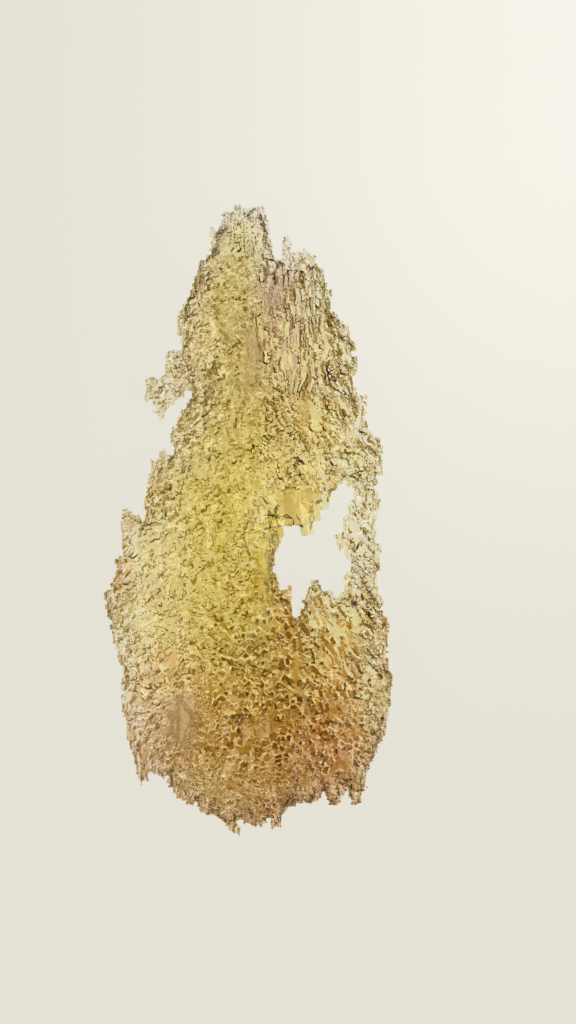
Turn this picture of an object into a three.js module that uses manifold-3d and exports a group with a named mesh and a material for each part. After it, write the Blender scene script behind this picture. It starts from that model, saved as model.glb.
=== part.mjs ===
// A raw, deeply etched barite crystal: a transparent yellow blade with a ragged rim and a window
// dissolved right through it. It lies on its back, with the face that was etched deepest upwards.
// Millimetres. +X across the blade, +Y along it towards the tip, +Z up out of its face.
import * as THREE from "three";
import { mergeVertices } from "three/addons/utils/BufferGeometryUtils.js";
import Module from "manifold-3d";

const wasm = await Module();
wasm.setup();

// Driving dimensions
const RIM_HEIGHT = 2.8; // the rim's height above the surface that the crystal lies on
const RIM_WANDER = 0.7; // how far the rim rises and falls along its way
const RIM_FALL = 5.0; // the distance from the rim in which the blade gains most of its thickness
const RIM_BLUNTNESS = 1.0; // 1 is a knife edge, and less is blunter
const BODY_THICKNESS = 4.2; // the blade's thickness away from its mounds
const FRONT_SHARE = 0.62; // how much of the thickness lies above the rim
const LEAST_HALF = 0.25; // half the least thickness, next to the rim
const COLUMN_STEP = 0.96; // the facets' width across the blade
const ROW_STEP = 1.29; // the facets' length along the blade
const RIM_KEEP = 0.14; // the share of a facet's edge that the rim keeps clear of its ends
const TOOTH = { width: 1.15, length: 3.4, depth: 0.36 }; // the rim's etched teeth, along the blade

// The rim, clockwise from the tip, as seen from above. Each stretch goes on from the one before.
const TIP = [
  [-1.7, 47.1], [2.2, 46.9], [2.9, 45.8], [3.5, 44.4], [3.7, 41.1], [4.1, 41.5], [4.4, 39.6],
  [4.9, 39.3], [5.0, 42.6], [6.4, 42.6], [6.5, 38.7], [7.4, 39.8], [8.6, 40.6], [10.1, 39.8],
  [10.1, 38.2], [11.0, 37.4], [11.6, 35.9],
];
const UPPER_RIGHT = [
  [12.4, 33.3], [12.8, 31.3], [13.7, 30.0], [15.4, 28.2], [15.8, 26.8], [16.6, 26.4], [16.3, 25.2],
  [16.7, 23.7], [16.4, 22.3], [15.4, 21.6], [15.1, 20.6], [16.1, 19.8], [16.9, 18.6], [18.2, 18.6],
  [17.9, 16.2], [17.6, 14.2], [19.7, 12.3], [20.3, 10.9], [19.9, 10.2], [20.3, 7.2],
];
const LOWER_RIGHT = [
  [19.7, 6.1], [19.7, 1.8], [19.4, 0.1], [19.0, -1.6], [20.0, -3.9], [20.0, -7.6], [19.6, -9.0],
  [19.7, -10.8], [20.5, -12.0], [20.5, -13.9], [21.1, -14.5], [21.1, -19.2], [20.8, -21.1],
  [21.7, -23.4], [21.5, -28.2], [20.8, -30.9], [19.7, -34.2], [18.4, -37.5], [17.6, -40.8],
];
const FOOT = [
  [16.9, -42.6], [15.4, -42.9], [14.9, -40.0], [14.3, -39.9], [14.0, -42.1], [12.8, -43.0],
  [11.8, -42.1], [11.3, -41.1], [9.7, -41.9], [7.9, -42.6], [5.9, -43.4], [5.0, -46.0],
  [3.4, -45.9], [3.1, -45.0], [2.8, -46.0], [1.6, -45.9], [0.4, -45.4], [-1.1, -44.5],
  [-1.4, -46.9], [-2.3, -46.8], [-3.7, -45.0], [-5.6, -43.9], [-7.3, -43.5], [-7.7, -42.1],
  [-8.3, -42.9], [-9.4, -42.0], [-10.6, -40.6], [-11.9, -39.6], [-11.9, -38.5], [-14.2, -37.8],
  [-14.8, -36.1], [-14.9, -38.5], [-15.8, -39.3], [-16.3, -37.8],
];
const LOWER_LEFT = [
  [-17.2, -34.2], [-18.1, -31.5], [-18.8, -27.3], [-19.3, -20.2], [-20.3, -17.4], [-21.4, -13.8],
  [-21.7, -11.2], [-20.6, -10.2], [-20.0, -8.8], [-19.4, -7.8], [-19.7, -6.0], [-18.7, -4.5],
  [-18.7, -1.5], [-18.8, 0.9], [-17.9, 1.9], [-16.4, 0.9], [-15.5, 0.4],
];
const UPPER_LEFT = [
  [-15.5, 3.1], [-14.9, 6.3], [-14.5, 9.0], [-13.0, 9.4], [-12.4, 10.7], [-11.3, 10.2],
  [-11.5, 12.4], [-11.0, 14.6], [-10.0, 16.1], [-9.1, 17.1], [-8.1, 19.2],
];
const FLANGE = [
  [-9.4, 18.4], [-10.5, 18.1], [-11.5, 16.9], [-12.2, 16.0], [-13.2, 14.6], [-14.0, 15.9],
  [-14.6, 17.7], [-15.5, 18.1], [-15.1, 20.8], [-14.0, 21.8], [-13.1, 21.0],
  [-12.2, 21.9], [-12.7, 23.1], [-12.4, 24.9], [-11.5, 25.8], [-10.1, 25.5],
];
const LEFT_SHOULDER = [
  [-10.4, 28.8], [-10.4, 30.6], [-9.7, 32.1], [-8.6, 34.8], [-7.6, 37.8], [-5.9, 39.8],
  [-5.6, 41.1], [-5.9, 42.6], [-5.2, 43.6], [-4.1, 44.1], [-3.8, 45.9], [-2.2, 46.2],
];
const RIM = [TIP, UPPER_RIGHT, LOWER_RIGHT, FOOT, LOWER_LEFT, UPPER_LEFT, FLANGE, LEFT_SHOULDER].flat();

// The window's edge, from its upper left corner: the prisms' ends, the fibres on the right, the stubs
// that stand up from below and the slit on the left.
const WINDOW = [
  [5.0, -2.1], [5.5, -0.4], [6.5, -0.4], [7.0, -1.9], [8.2, -3.1], [9.4, -2.9], [10.3, -1.8],
  [10.3, 1.6], [11.2, 1.9], [12.4, 1.5], [12.8, 3.9], [13.7, 4.2], [14.5, 5.8], [15.4, 4.6],
  [15.7, 3.3], [14.9, 2.5], [15.1, 1.2], [14.2, 0.0], [14.5, -1.3], [13.1, -2.4], [14.0, -4.5],
  [15.1, -6.5], [15.1, -7.8], [14.0, -8.1], [14.5, -11.4], [13.3, -8.7], [13.6, -12.0],
  [12.5, -10.5], [11.6, -10.2], [10.7, -8.7], [9.5, -9.0], [8.6, -10.8], [7.9, -13.2],
  [7.4, -15.3], [6.8, -13.0], [6.1, -9.6], [5.0, -10.8], [4.7, -7.9], [4.3, -5.0], [4.9, -3.8],
];

// Mounds and hollows of the thickness: each adds rise at its middle and dies away over its radii.
const MOUNDS = [
  { name: "heart", x: -1.5, y: 3, rx: 10, ry: 21, rise: 4.2 },
  { name: "lower body", x: 2, y: -27, rx: 14, ry: 14, rise: 3.0 },
  { name: "upper shoulder", x: -3, y: 30, rx: 8, ry: 12, rise: 1.4 },
  { name: "upper right", x: 12, y: 22, rx: 6, ry: 12, rise: 0.7 },
  { name: "right strip", x: 17.5, y: -3, rx: 4.5, ry: 14, rise: -1.3 },
  { name: "left margin", x: -17, y: -14, rx: 6, ry: 20, rise: -0.9 },
  { name: "flange", x: -12, y: 21, rx: 6, ry: 7, rise: -1.8 },
];

// Ledges: seen along its way, the side on its right stands rise higher, and that fades out over reach.
const LEDGES = [
  { name: "flange foot", from: [-9.6, 17.8], to: [-2.0, 25.8], rise: 1.5, reach: 7 },
  { name: "shoulder arc", from: [-11.6, 12.0], to: [-5.4, 15.4], rise: -0.7, reach: 4 },
  { name: "crest", from: [0.8, 17], to: [0.8, 41], rise: -0.9, reach: 5 },
  { name: "crest foot", from: [2.0, 19.8], to: [14.5, 18.2], rise: 0.9, reach: 6 },
  { name: "lower right", from: [7.6, -16], to: [12, -34], rise: -0.6, reach: 5 },
];
const LEDGE_WIDTH = 0.5; // half the distance over which a ledge steps

// The prisms that hang into the window from above: the blade's length that they take, and each one's
// span across it and height.
const PRISM_ROW = { bottom: -4, top: 4.6 };
const PRISMS = [
  { from: 5.2, to: 7.7, rise: 0.2 },
  { from: 7.7, to: 10.3, rise: 1.3 },
  { from: 10.3, to: 12.9, rise: 0.5 },
];

// Etch hills: their spacing across and along the blade, and the height from foot to peak. Towards the
// right edge they lean, so that their ridges run down and to the right.
const FRONT_HILLS = { width: 3.3, length: 5.6, height: 1.0, seed: 3 };
const BACK_HILLS = { width: 4.4, length: 6.6, height: 0.8, seed: 11 };
const LEAN = { from: 3, to: 14, most: 0.55 };
const NEIGHBOURS = [-1, 0, 1];

/** A repeatable number from 0 to 1 for a cell of a lattice. */
function chance(i, j, seed) {
  const wave = Math.sin(i * 127.1 + j * 311.7 + seed * 74.7) * 43758.5453;
  return wave - Math.floor(wave);
}

/** 0 below low, 1 above high, and a smooth rise between them. */
function smooth(low, high, value) {
  const t = Math.min(1, Math.max(0, (value - low) / (high - low)));
  return t * t * (3 - 2 * t);
}

/** Smooth noise from -1 to 1, its lattice one unit wide. */
function noise(x, y, seed) {
  const i = Math.floor(x);
  const j = Math.floor(y);
  const u = smooth(0, 1, x - i);
  const v = smooth(0, 1, y - j);
  const low = chance(i, j, seed) * (1 - u) + chance(i + 1, j, seed) * u;
  const high = chance(i, j + 1, seed) * (1 - u) + chance(i + 1, j + 1, seed) * u;
  return 2 * (low * (1 - v) + high * v) - 1;
}

/** Etch hills: roofs with flat faces on a jittered lattice, where the highest one shows. */
function hills(x, y, { width, length, height, seed }) {
  const lean = LEAN.most * smooth(LEAN.from, LEAN.to, x);
  const u = (x + lean * y) / width;
  const v = y / length;
  let highest = -1;
  for (const a of NEIGHBOURS) {
    for (const b of NEIGHBOURS) {
      const i = Math.floor(u) + a;
      const j = Math.floor(v) + b;
      const across = Math.abs(u - i - 0.15 - 0.7 * chance(i, j, seed));
      const along = v - j - 0.15 - 0.7 * chance(i, j, seed + 1);
      const peak = 0.55 + 0.45 * chance(i, j, seed + 2);
      const slope = Math.max(1.25 * across, along > 0 ? 1.5 * along : -0.8 * along);
      highest = Math.max(highest, peak - slope);
    }
  }
  return height * highest;
}

/** The distance from a point to a segment, and on which side of it the point is: 1 is the right. */
function fromSegment(x, y, [ax, ay], [bx, by]) {
  const dx = bx - ax;
  const dy = by - ay;
  const t = Math.min(1, Math.max(0, ((x - ax) * dx + (y - ay) * dy) / (dx * dx + dy * dy)));
  const distance = Math.hypot(x - ax - t * dx, y - ay - t * dy);
  const aside = ((x - ax) * dy - (y - ay) * dx) / Math.hypot(dx, dy);
  return { distance, aside };
}

/** How far a point is inside a closed outline: below 0 is outside. */
function insideOf(outline, x, y) {
  let nearest = Infinity;
  let inside = false;
  outline.forEach((a, n) => {
    const b = outline[(n + 1) % outline.length];
    nearest = Math.min(nearest, fromSegment(x, y, a, b).distance);
    const crosses = a[1] > y !== b[1] > y;
    if (crosses && x < a[0] + ((y - a[1]) * (b[0] - a[0])) / (b[1] - a[1])) inside = !inside;
  });
  return inside ? nearest : -nearest;
}

/** How far a point is inside the blade's material, with the teeth that etching cut into its rim. */
function depthInside(x, y) {
  const plain = Math.min(insideOf(RIM, x, y), -insideOf(WINDOW, x, y));
  const u = x / TOOTH.width;
  const v = y / TOOTH.length;
  return plain + TOOTH.depth * (noise(u, v, 5) + 0.5 * noise(2.1 * u, 2.1 * v, 6));
}

/** The rim's height, where the front and the back meet. */
function rimHeight(x, y) {
  return RIM_HEIGHT + RIM_WANDER * noise(x / 9, y / 11, 8);
}

/** The blade's thickness well inside its rim. */
function fullThickness(x, y) {
  const bumps = MOUNDS.map((m) => m.rise * Math.exp(-(((x - m.x) / m.rx) ** 2) - ((y - m.y) / m.ry) ** 2));
  return BODY_THICKNESS + bumps.reduce((sum, bump) => sum + bump, 0);
}

/** What the ledges add to the front. */
function ledgeRelief(x, y) {
  const steps = LEDGES.map(({ from, to, rise, reach }) => {
    const { distance, aside } = fromSegment(x, y, from, to);
    return rise * (smooth(-LEDGE_WIDTH, LEDGE_WIDTH, aside) - 0.5) * Math.exp(-((distance / reach) ** 2));
  });
  return steps.reduce((sum, step) => sum + step, 0);
}

/** How much of a point belongs to the prisms above the window, and their flat tops' height. */
function prismRelief(x, y) {
  const prism = PRISMS.find(({ from, to }) => x >= from && x < to);
  const { bottom, top } = PRISM_ROW;
  const share = prism ? smooth(top, top - 1.2, y) * smooth(bottom - 1, bottom, y) : 0;
  return { share, rise: prism ? prism.rise : 0 };
}

/** The heights of the front and the back at a point that is depth inside the rim. */
function faces(x, y, depth) {
  const fullness = (1 - Math.exp(-depth / RIM_FALL)) ** RIM_BLUNTNESS;
  const roughness = 1 - Math.exp(-depth / 1.3);
  const thickness = fullThickness(x, y) * fullness;
  const rim = rimHeight(x, y);
  const { share, rise } = prismRelief(x, y);
  const etched = hills(x, y, FRONT_HILLS) + ledgeRelief(x, y);
  const front = FRONT_SHARE * thickness + roughness * (etched * (1 - share) + rise * share);
  const back = (1 - FRONT_SHARE) * thickness + roughness * hills(x, y, BACK_HILLS);
  return { front: rim + Math.max(LEAST_HALF, front), back: rim - Math.max(LEAST_HALF, back), rim };
}

/** The point of the rim between a corner inside it and one outside, clear of both. */
function crossing(inner, outer) {
  const share = Math.min(1 - RIM_KEEP, Math.max(RIM_KEEP, inner.depth / (inner.depth - outer.depth)));
  const x = inner.x + share * (outer.x - inner.x);
  const y = inner.y + share * (outer.y - inner.y);
  const height = rimHeight(x, y);
  return { x, y, front: height, back: height };
}

/** The polygons of a cell that lie inside the rim: one, or two where only opposite corners do. */
function ringsOf(corners) {
  const inside = corners.map((corner) => corner.depth > 0);
  const around = (n) => {
    const corner = corners[n];
    return [crossing(corner, corners[(n + 3) % 4]), corner, crossing(corner, corners[(n + 1) % 4])];
  };
  if (inside[0] === inside[2] && inside[1] === inside[3] && inside[0] !== inside[1]) {
    return inside[0] ? [around(0), around(2)] : [around(1), around(3)];
  }
  const ring = corners.flatMap((a, n) => {
    const b = corners[(n + 1) % 4];
    if (inside[n]) return inside[(n + 1) % 4] ? [a] : [a, crossing(a, b)];
    return inside[(n + 1) % 4] ? [crossing(b, a)] : [];
  });
  return ring.length ? [ring] : [];
}

/** A ring of four corners, begun where the cut between its two triangles is the flatter one. */
function splitFlatter(ring, side) {
  const [a, b, c, d] = ring.map((corner) => corner[side]);
  return Math.abs(a - c) > Math.abs(b - d) ? [...ring.slice(1), ring[0]] : ring;
}

/**
 * The blade between its front and its back, on a lattice. In each cell the corners inside the rim and
 * the points where the rim crosses the cell's edges make a polygon, above and below.
 */
function bladeGeometry() {
  const xs = RIM.map(([x]) => x);
  const ys = RIM.map(([, y]) => y);
  const left = Math.min(...xs) - 2 * COLUMN_STEP;
  const foot = Math.min(...ys) - 2 * ROW_STEP;
  const columns = Math.ceil((Math.max(...xs) - left) / COLUMN_STEP) + 2;
  const rows = Math.ceil((Math.max(...ys) - foot) / ROW_STEP) + 2;
  const lattice = [];
  for (let j = 0; j <= rows; j++) {
    for (let i = 0; i <= columns; i++) {
      const x = left + i * COLUMN_STEP;
      const y = foot + j * ROW_STEP;
      lattice.push({ x, y, depth: depthInside(x, y) });
    }
  }
  for (const corner of lattice) Object.assign(corner, faces(corner.x, corner.y, Math.max(0, corner.depth)));

  const positions = [];
  const addFan = (ring, side) => {
    for (let n = 1; n + 1 < ring.length; n++) {
      for (const p of [ring[0], ring[n], ring[n + 1]]) positions.push(p.x, p.y, p[side]);
    }
  };
  for (let j = 0; j < rows; j++) {
    for (let i = 0; i < columns; i++) {
      const at = j * (columns + 1) + i;
      const corners = [lattice[at], lattice[at + 1], lattice[at + columns + 2], lattice[at + columns + 1]];
      for (const ring of ringsOf(corners)) {
        for (const side of ["front", "back"]) {
          const ordered = ring.length === 4 ? splitFlatter(ring, side) : ring;
          addFan(side === "front" ? ordered : [...ordered].reverse(), side);
        }
      }
    }
  }
  const vertices = new THREE.Float32BufferAttribute(positions, 3);
  return new THREE.BufferGeometry().setAttribute("position", vertices);
}

/** A closed three.js geometry as a solid. */
function solidOf(geometry) {
  const bare = new THREE.BufferGeometry().setAttribute("position", geometry.getAttribute("position"));
  const whole = geometry.index ? bare.setIndex(geometry.index) : bare;
  const merged = mergeVertices(whole, 1e-4);
  const vertProperties = merged.attributes.position.array;
  const triVerts = new Uint32Array(merged.index.array);
  return new wasm.Manifold(new wasm.Mesh({ numProp: 3, vertProperties, triVerts }));
}

/** A solid as a three.js geometry with flat faces. */
function geometryOf(solid) {
  const { vertProperties, triVerts } = solid.getMesh();
  const geometry = new THREE.BufferGeometry();
  geometry.setAttribute("position", new THREE.BufferAttribute(vertProperties, 3));
  geometry.setIndex(new THREE.BufferAttribute(triVerts, 1));
  const flat = geometry.toNonIndexed();
  flat.computeVertexNormals();
  return flat;
}

/** The crystal: the etched blade, without loose specks, its back cut off flat where it rests. */
function crystalGeometry() {
  const size = 200;
  const above = new THREE.BoxGeometry(size, size, size).translate(0, 0, size / 2);
  const cut = solidOf(bladeGeometry()).intersect(solidOf(above));
  const largest = cut.decompose().reduce((best, piece) => (piece.volume() > best.volume() ? piece : best));
  return geometryOf(largest);
}

const yellow = new THREE.MeshStandardMaterial({ color: 0xd3b964, roughness: 0.12, metalness: 0 });
const crystal = new THREE.Mesh(crystalGeometry(), yellow);
crystal.name = "crystal";

const specimen = new THREE.Group();
specimen.add(crystal);

export default specimen;
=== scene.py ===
"""A raw, deeply etched barite crystal lying on its back: a clear yellow blade with a ragged rim and a
window dissolved right through it, seen from straight above.

The solid model has the blade's outline, its mounds, its ledges and its large etch hills. This script
repeats those and adds the fine etching: flat facets with low ridges and crevices between them, of a
size and lie that change from zone to zone. Their tint holds painted light and shade: highlights on
ridges, shade in crevices and pits, and faces lighter or darker as they face a made-up light or away.
Lengths are in millimetres until a mesh is written.
"""

import logging
import math
from dataclasses import dataclass
from enum import Enum, IntEnum

import bpy
import numpy as np
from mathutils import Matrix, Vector
from mathutils.geometry import delaunay_2d_cdt

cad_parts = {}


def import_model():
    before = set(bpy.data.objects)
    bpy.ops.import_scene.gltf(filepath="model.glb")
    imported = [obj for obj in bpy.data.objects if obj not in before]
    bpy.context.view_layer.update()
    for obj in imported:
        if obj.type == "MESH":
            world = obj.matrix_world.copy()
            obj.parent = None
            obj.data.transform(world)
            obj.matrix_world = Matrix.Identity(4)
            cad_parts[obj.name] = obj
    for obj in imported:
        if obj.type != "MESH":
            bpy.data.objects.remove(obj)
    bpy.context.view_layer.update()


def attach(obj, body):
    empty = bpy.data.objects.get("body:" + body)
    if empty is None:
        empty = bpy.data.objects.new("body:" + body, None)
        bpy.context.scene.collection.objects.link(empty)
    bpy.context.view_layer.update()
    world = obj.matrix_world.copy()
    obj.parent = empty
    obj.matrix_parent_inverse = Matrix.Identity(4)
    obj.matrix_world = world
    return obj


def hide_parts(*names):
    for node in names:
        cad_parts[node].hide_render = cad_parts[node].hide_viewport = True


MM = 0.001  # metres in a millimetre
IMAGE_SIZE = (576, 1024)  # the picture's width and height in pixels
MM_PER_PIXEL = 0.15  # the picture's scale on the crystal
BLADE_MIDDLE_PIXEL = (247.5, 520.0)  # where the blade's origin is in the picture
KEYS = 1e6  # the numbers that tell facets apart go from 0 to this
UNTINTED = -10.0  # what faces of the back and the walls have in place of steps held back

Array = np.ndarray
Point = tuple[float, float]
Span = tuple[float, float]  # from and to, or across and along
Colour = tuple[float, float, float]

log = logging.getLogger("barite")

# The rim, clockwise from the tip, as seen from above. Each stretch goes on from the one before.
TIP: list[Point] = [
    (-1.7, 47.1), (2.2, 46.9), (2.9, 45.8), (3.5, 44.4), (3.7, 41.1), (4.1, 41.5), (4.4, 39.6),
    (4.9, 39.3), (5.0, 42.6), (6.4, 42.6), (6.5, 38.7), (7.4, 39.8), (8.6, 40.6), (10.1, 39.8),
    (10.1, 38.2), (11.0, 37.4), (11.6, 35.9),
]
UPPER_RIGHT: list[Point] = [
    (12.4, 33.3), (12.8, 31.3), (13.7, 30.0), (15.4, 28.2), (15.8, 26.8), (16.6, 26.4), (16.3, 25.2),
    (16.7, 23.7), (16.4, 22.3), (15.4, 21.6), (15.1, 20.6), (16.1, 19.8), (16.9, 18.6), (18.2, 18.6),
    (17.9, 16.2), (17.6, 14.2), (19.7, 12.3), (20.3, 10.9), (19.9, 10.2), (20.3, 7.2),
]
LOWER_RIGHT: list[Point] = [
    (19.7, 6.1), (19.7, 1.8), (19.4, 0.1), (19.0, -1.6), (20.0, -3.9), (20.0, -7.6), (19.6, -9.0),
    (19.7, -10.8), (20.5, -12.0), (20.5, -13.9), (21.1, -14.5), (21.1, -19.2), (20.8, -21.1),
    (21.7, -23.4), (21.5, -28.2), (20.8, -30.9), (19.7, -34.2), (18.4, -37.5), (17.6, -40.8),
]
FOOT: list[Point] = [
    (16.9, -42.6), (15.4, -42.9), (14.9, -40.0), (14.3, -39.9), (14.0, -42.1), (12.8, -43.0),
    (11.8, -42.1), (11.3, -41.1), (9.7, -41.9), (7.9, -42.6), (5.9, -43.4), (5.0, -46.0),
    (3.4, -45.9), (3.1, -45.0), (2.8, -46.0), (1.6, -45.9), (0.4, -45.4), (-1.1, -44.5),
    (-1.4, -46.9), (-2.3, -46.8), (-3.7, -45.0), (-5.6, -43.9), (-7.3, -43.5), (-7.7, -42.1),
    (-8.3, -42.9), (-9.4, -42.0), (-10.6, -40.6), (-11.9, -39.6), (-11.9, -38.5), (-14.2, -37.8),
    (-14.8, -36.1), (-14.9, -38.5), (-15.8, -39.3), (-16.3, -37.8),
]
LOWER_LEFT: list[Point] = [
    (-17.2, -34.2), (-18.1, -31.5), (-18.8, -27.3), (-19.3, -20.2), (-20.3, -17.4), (-21.4, -13.8),
    (-21.7, -11.2), (-20.6, -10.2), (-20.0, -8.8), (-19.4, -7.8), (-19.7, -6.0), (-18.7, -4.5),
    (-18.7, -1.5), (-18.8, 0.9), (-17.9, 1.9), (-16.4, 0.9), (-15.5, 0.4),
]
UPPER_LEFT: list[Point] = [
    (-15.5, 3.1), (-14.9, 6.3), (-14.5, 9.0), (-13.0, 9.4), (-12.4, 10.7), (-11.3, 10.2),
    (-11.5, 12.4), (-11.0, 14.6), (-10.0, 16.1), (-9.1, 17.1), (-8.1, 19.2),
]
FLANGE: list[Point] = [
    (-9.4, 18.4), (-10.5, 18.1), (-11.5, 16.9), (-12.2, 16.0), (-13.2, 14.6), (-14.0, 15.9),
    (-14.6, 17.7), (-15.5, 18.1), (-15.1, 20.8), (-14.0, 21.8), (-13.1, 21.0), (-12.2, 21.9),
    (-12.7, 23.1), (-12.4, 24.9), (-11.5, 25.8), (-10.1, 25.5),
]
LEFT_SHOULDER: list[Point] = [
    (-10.4, 28.8), (-10.4, 30.6), (-9.7, 32.1), (-8.6, 34.8), (-7.6, 37.8), (-5.9, 39.8),
    (-5.6, 41.1), (-5.9, 42.6), (-5.2, 43.6), (-4.1, 44.1), (-3.8, 45.9), (-2.2, 46.2),
]
RIM = TIP + UPPER_RIGHT + LOWER_RIGHT + FOOT + LOWER_LEFT + UPPER_LEFT + FLANGE + LEFT_SHOULDER

# The window's edge, from its upper left corner: the prisms' ends, the fibres on the right, the stubs
# that stand up from below and the slit on the left.
WINDOW: list[Point] = [
    (5.0, -2.1), (5.5, -0.8), (6.5, -1.1), (7.2, -1.6), (8.0, -2.5), (9.4, -2.7), (10.3, -1.8),
    (10.3, 1.6), (11.2, 1.9), (12.4, 1.5), (12.8, 3.9), (13.7, 4.2), (14.5, 5.8), (15.4, 4.6),
    (15.7, 3.3), (14.9, 2.5), (15.1, 1.2), (14.2, 0.0), (14.5, -1.3), (13.1, -2.4), (14.0, -4.5),
    (15.1, -6.5), (15.1, -7.8), (14.0, -8.1), (14.5, -11.4), (13.3, -8.7), (13.6, -12.0),
    (12.5, -10.5), (11.6, -10.2), (10.7, -8.7), (9.5, -9.0), (8.6, -10.6), (7.9, -12.4),
    (7.5, -14.2), (7.1, -12.6), (6.2, -9.6), (5.0, -10.8), (4.7, -7.9), (4.3, -5.0), (4.9, -3.8),
]


def smooth(low: float, high: float, value: Array) -> Array:
    """0 below low, 1 above high and 3t^2 - 2t^3 between; with low above high it falls instead."""
    t = np.clip((value - low) / (high - low), 0, 1)
    return t * t * (3 - 2 * t)


def chance(i: Array, j: Array, seed: float) -> Array:
    """A repeatable number from 0 to 1 for each cell of a lattice: the fraction of a huge sine."""
    wave = np.sin(i * 127.1 + j * 311.7 + seed * 74.7) * 43758.5453
    return wave - np.floor(wave)


def noise(x: Array, y: Array, seed: float) -> Array:
    """Smooth noise, its lattice one unit wide: chances blended between the corners.

    Args:
        x: the points' x.
        y: their y.
        seed: which noise it is.

    Returns:
        The noise, from -1 to 1.
    """
    i, j = np.floor(x), np.floor(y)
    u, v = smooth(0, 1, x - i), smooth(0, 1, y - j)
    low = chance(i, j, seed) * (1 - u) + chance(i + 1, j, seed) * u
    high = chance(i, j + 1, seed) * (1 - u) + chance(i + 1, j + 1, seed) * u
    return 2 * (low * (1 - v) + high * v) - 1


def from_segment(x: Array, y: Array, a: Point, b: Point) -> tuple[Array, Array]:
    """How far points are from a segment, and on which side of it.

    The nearest point of the segment is a + t (b - a), with t the projection kept within 0 and 1.

    Args:
        x: the points' x.
        y: their y.
        a: the segment's start.
        b: its end.

    Returns:
        The distances, and how far each point is to the right of the line from a to b.
    """
    dx, dy = b[0] - a[0], b[1] - a[1]
    t = np.clip(((x - a[0]) * dx + (y - a[1]) * dy) / (dx * dx + dy * dy), 0, 1)
    distance = np.hypot(x - a[0] - t * dx, y - a[1] - t * dy)
    return distance, ((x - a[0]) * dy - (y - a[1]) * dx) / math.hypot(dx, dy)


def inside_of(outline: list[Point], x: Array, y: Array) -> Array:
    """How far points are inside a closed outline; below 0 is outside.

    The distance is the least one to any segment, and its sign is whether a ray to the left crosses
    the outline an odd number of times.

    Args:
        outline: the corners, in order.
        x: the points' x.
        y: their y.

    Returns:
        The signed distances.
    """
    nearest = np.full(x.shape, np.inf)
    inside = np.zeros(x.shape, bool)
    for a, b in zip(outline, outline[1:] + outline[:1]):
        nearest = np.minimum(nearest, from_segment(x, y, a, b)[0])
        if a[1] != b[1]:
            crosses = (a[1] > y) != (b[1] > y)
            inside ^= crosses & (x < a[0] + (y - a[1]) * (b[0] - a[0]) / (b[1] - a[1]))
    return np.where(inside, nearest, -nearest)


def placed(name: str, data: bpy.types.ID) -> bpy.types.Object:
    """Puts a mesh, a lamp or a camera into the scene.

    Args:
        name: the new object's name.
        data: what it holds.

    Returns:
        The object.
    """
    thing = bpy.data.objects.new(name, data)
    bpy.context.scene.collection.objects.link(thing)
    return thing


def meshed(name: str, vertices: Array, faces: Array) -> bpy.types.Object:
    """Makes a mesh of flat faces and puts it into the scene.

    Args:
        name: the object's name.
        vertices: places in metres, three numbers a row.
        faces: vertex numbers, a row for each face.

    Returns:
        The object.
    """
    mesh = bpy.data.meshes.new(name)
    mesh.vertices.add(len(vertices))
    mesh.vertices.foreach_set("co", vertices.astype(np.float32).ravel())
    mesh.loops.add(faces.size)
    mesh.loops.foreach_set("vertex_index", faces.astype(np.int32).ravel())
    mesh.polygons.add(len(faces))
    mesh.polygons.foreach_set("loop_start", np.arange(0, faces.size, faces.shape[1], dtype=np.int32))
    mesh.update(calc_edges=True)
    mesh.shade_flat()
    return placed(name, mesh)


def coloured(piece: bpy.types.Object, name: str, domain: str, colours: Array) -> None:
    """Gives a piece's mesh a colour for each face or vertex.

    Args:
        piece: the piece.
        name: the name that its material reads the colours by.
        domain: FACE or POINT.
        colours: red, green and blue in each row.
    """
    values = piece.data.attributes.new(name, "FLOAT_COLOR", domain)
    values.data.foreach_set("color", np.c_[colours, np.ones(len(colours))].astype(np.float32).ravel())


def reads_colours(material: bpy.types.Material, name: str, socket: bpy.types.NodeSocket) -> None:
    """Joins a shader's socket to the mesh's colours of a name.

    Args:
        material: the shader's material.
        name: the colours' name.
        socket: where they go.
    """
    attribute = material.node_tree.nodes.new("ShaderNodeAttribute")
    attribute.attribute_name = name
    material.node_tree.links.new(attribute.outputs["Color"], socket)


@dataclass(frozen=True)
class Waves:
    """Smooth noise on the blade, by how wide, long and high its waves are."""

    width: float
    length: float
    seed: float
    size: float = 1.0

    def at(self, x: Array, y: Array) -> Array:
        """The noise at points, from -size to size."""
        return self.size * noise(x / self.width, y / self.length, self.seed)

    def ragged_at(self, x: Array, y: Array) -> Array:
        """The same, with half as much noise added whose waves are 2.1 times as many."""
        u, v = x / self.width, y / self.length
        return self.size * (noise(u, v, self.seed) + 0.5 * noise(2.1 * u, 2.1 * v, self.seed + 1))


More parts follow.
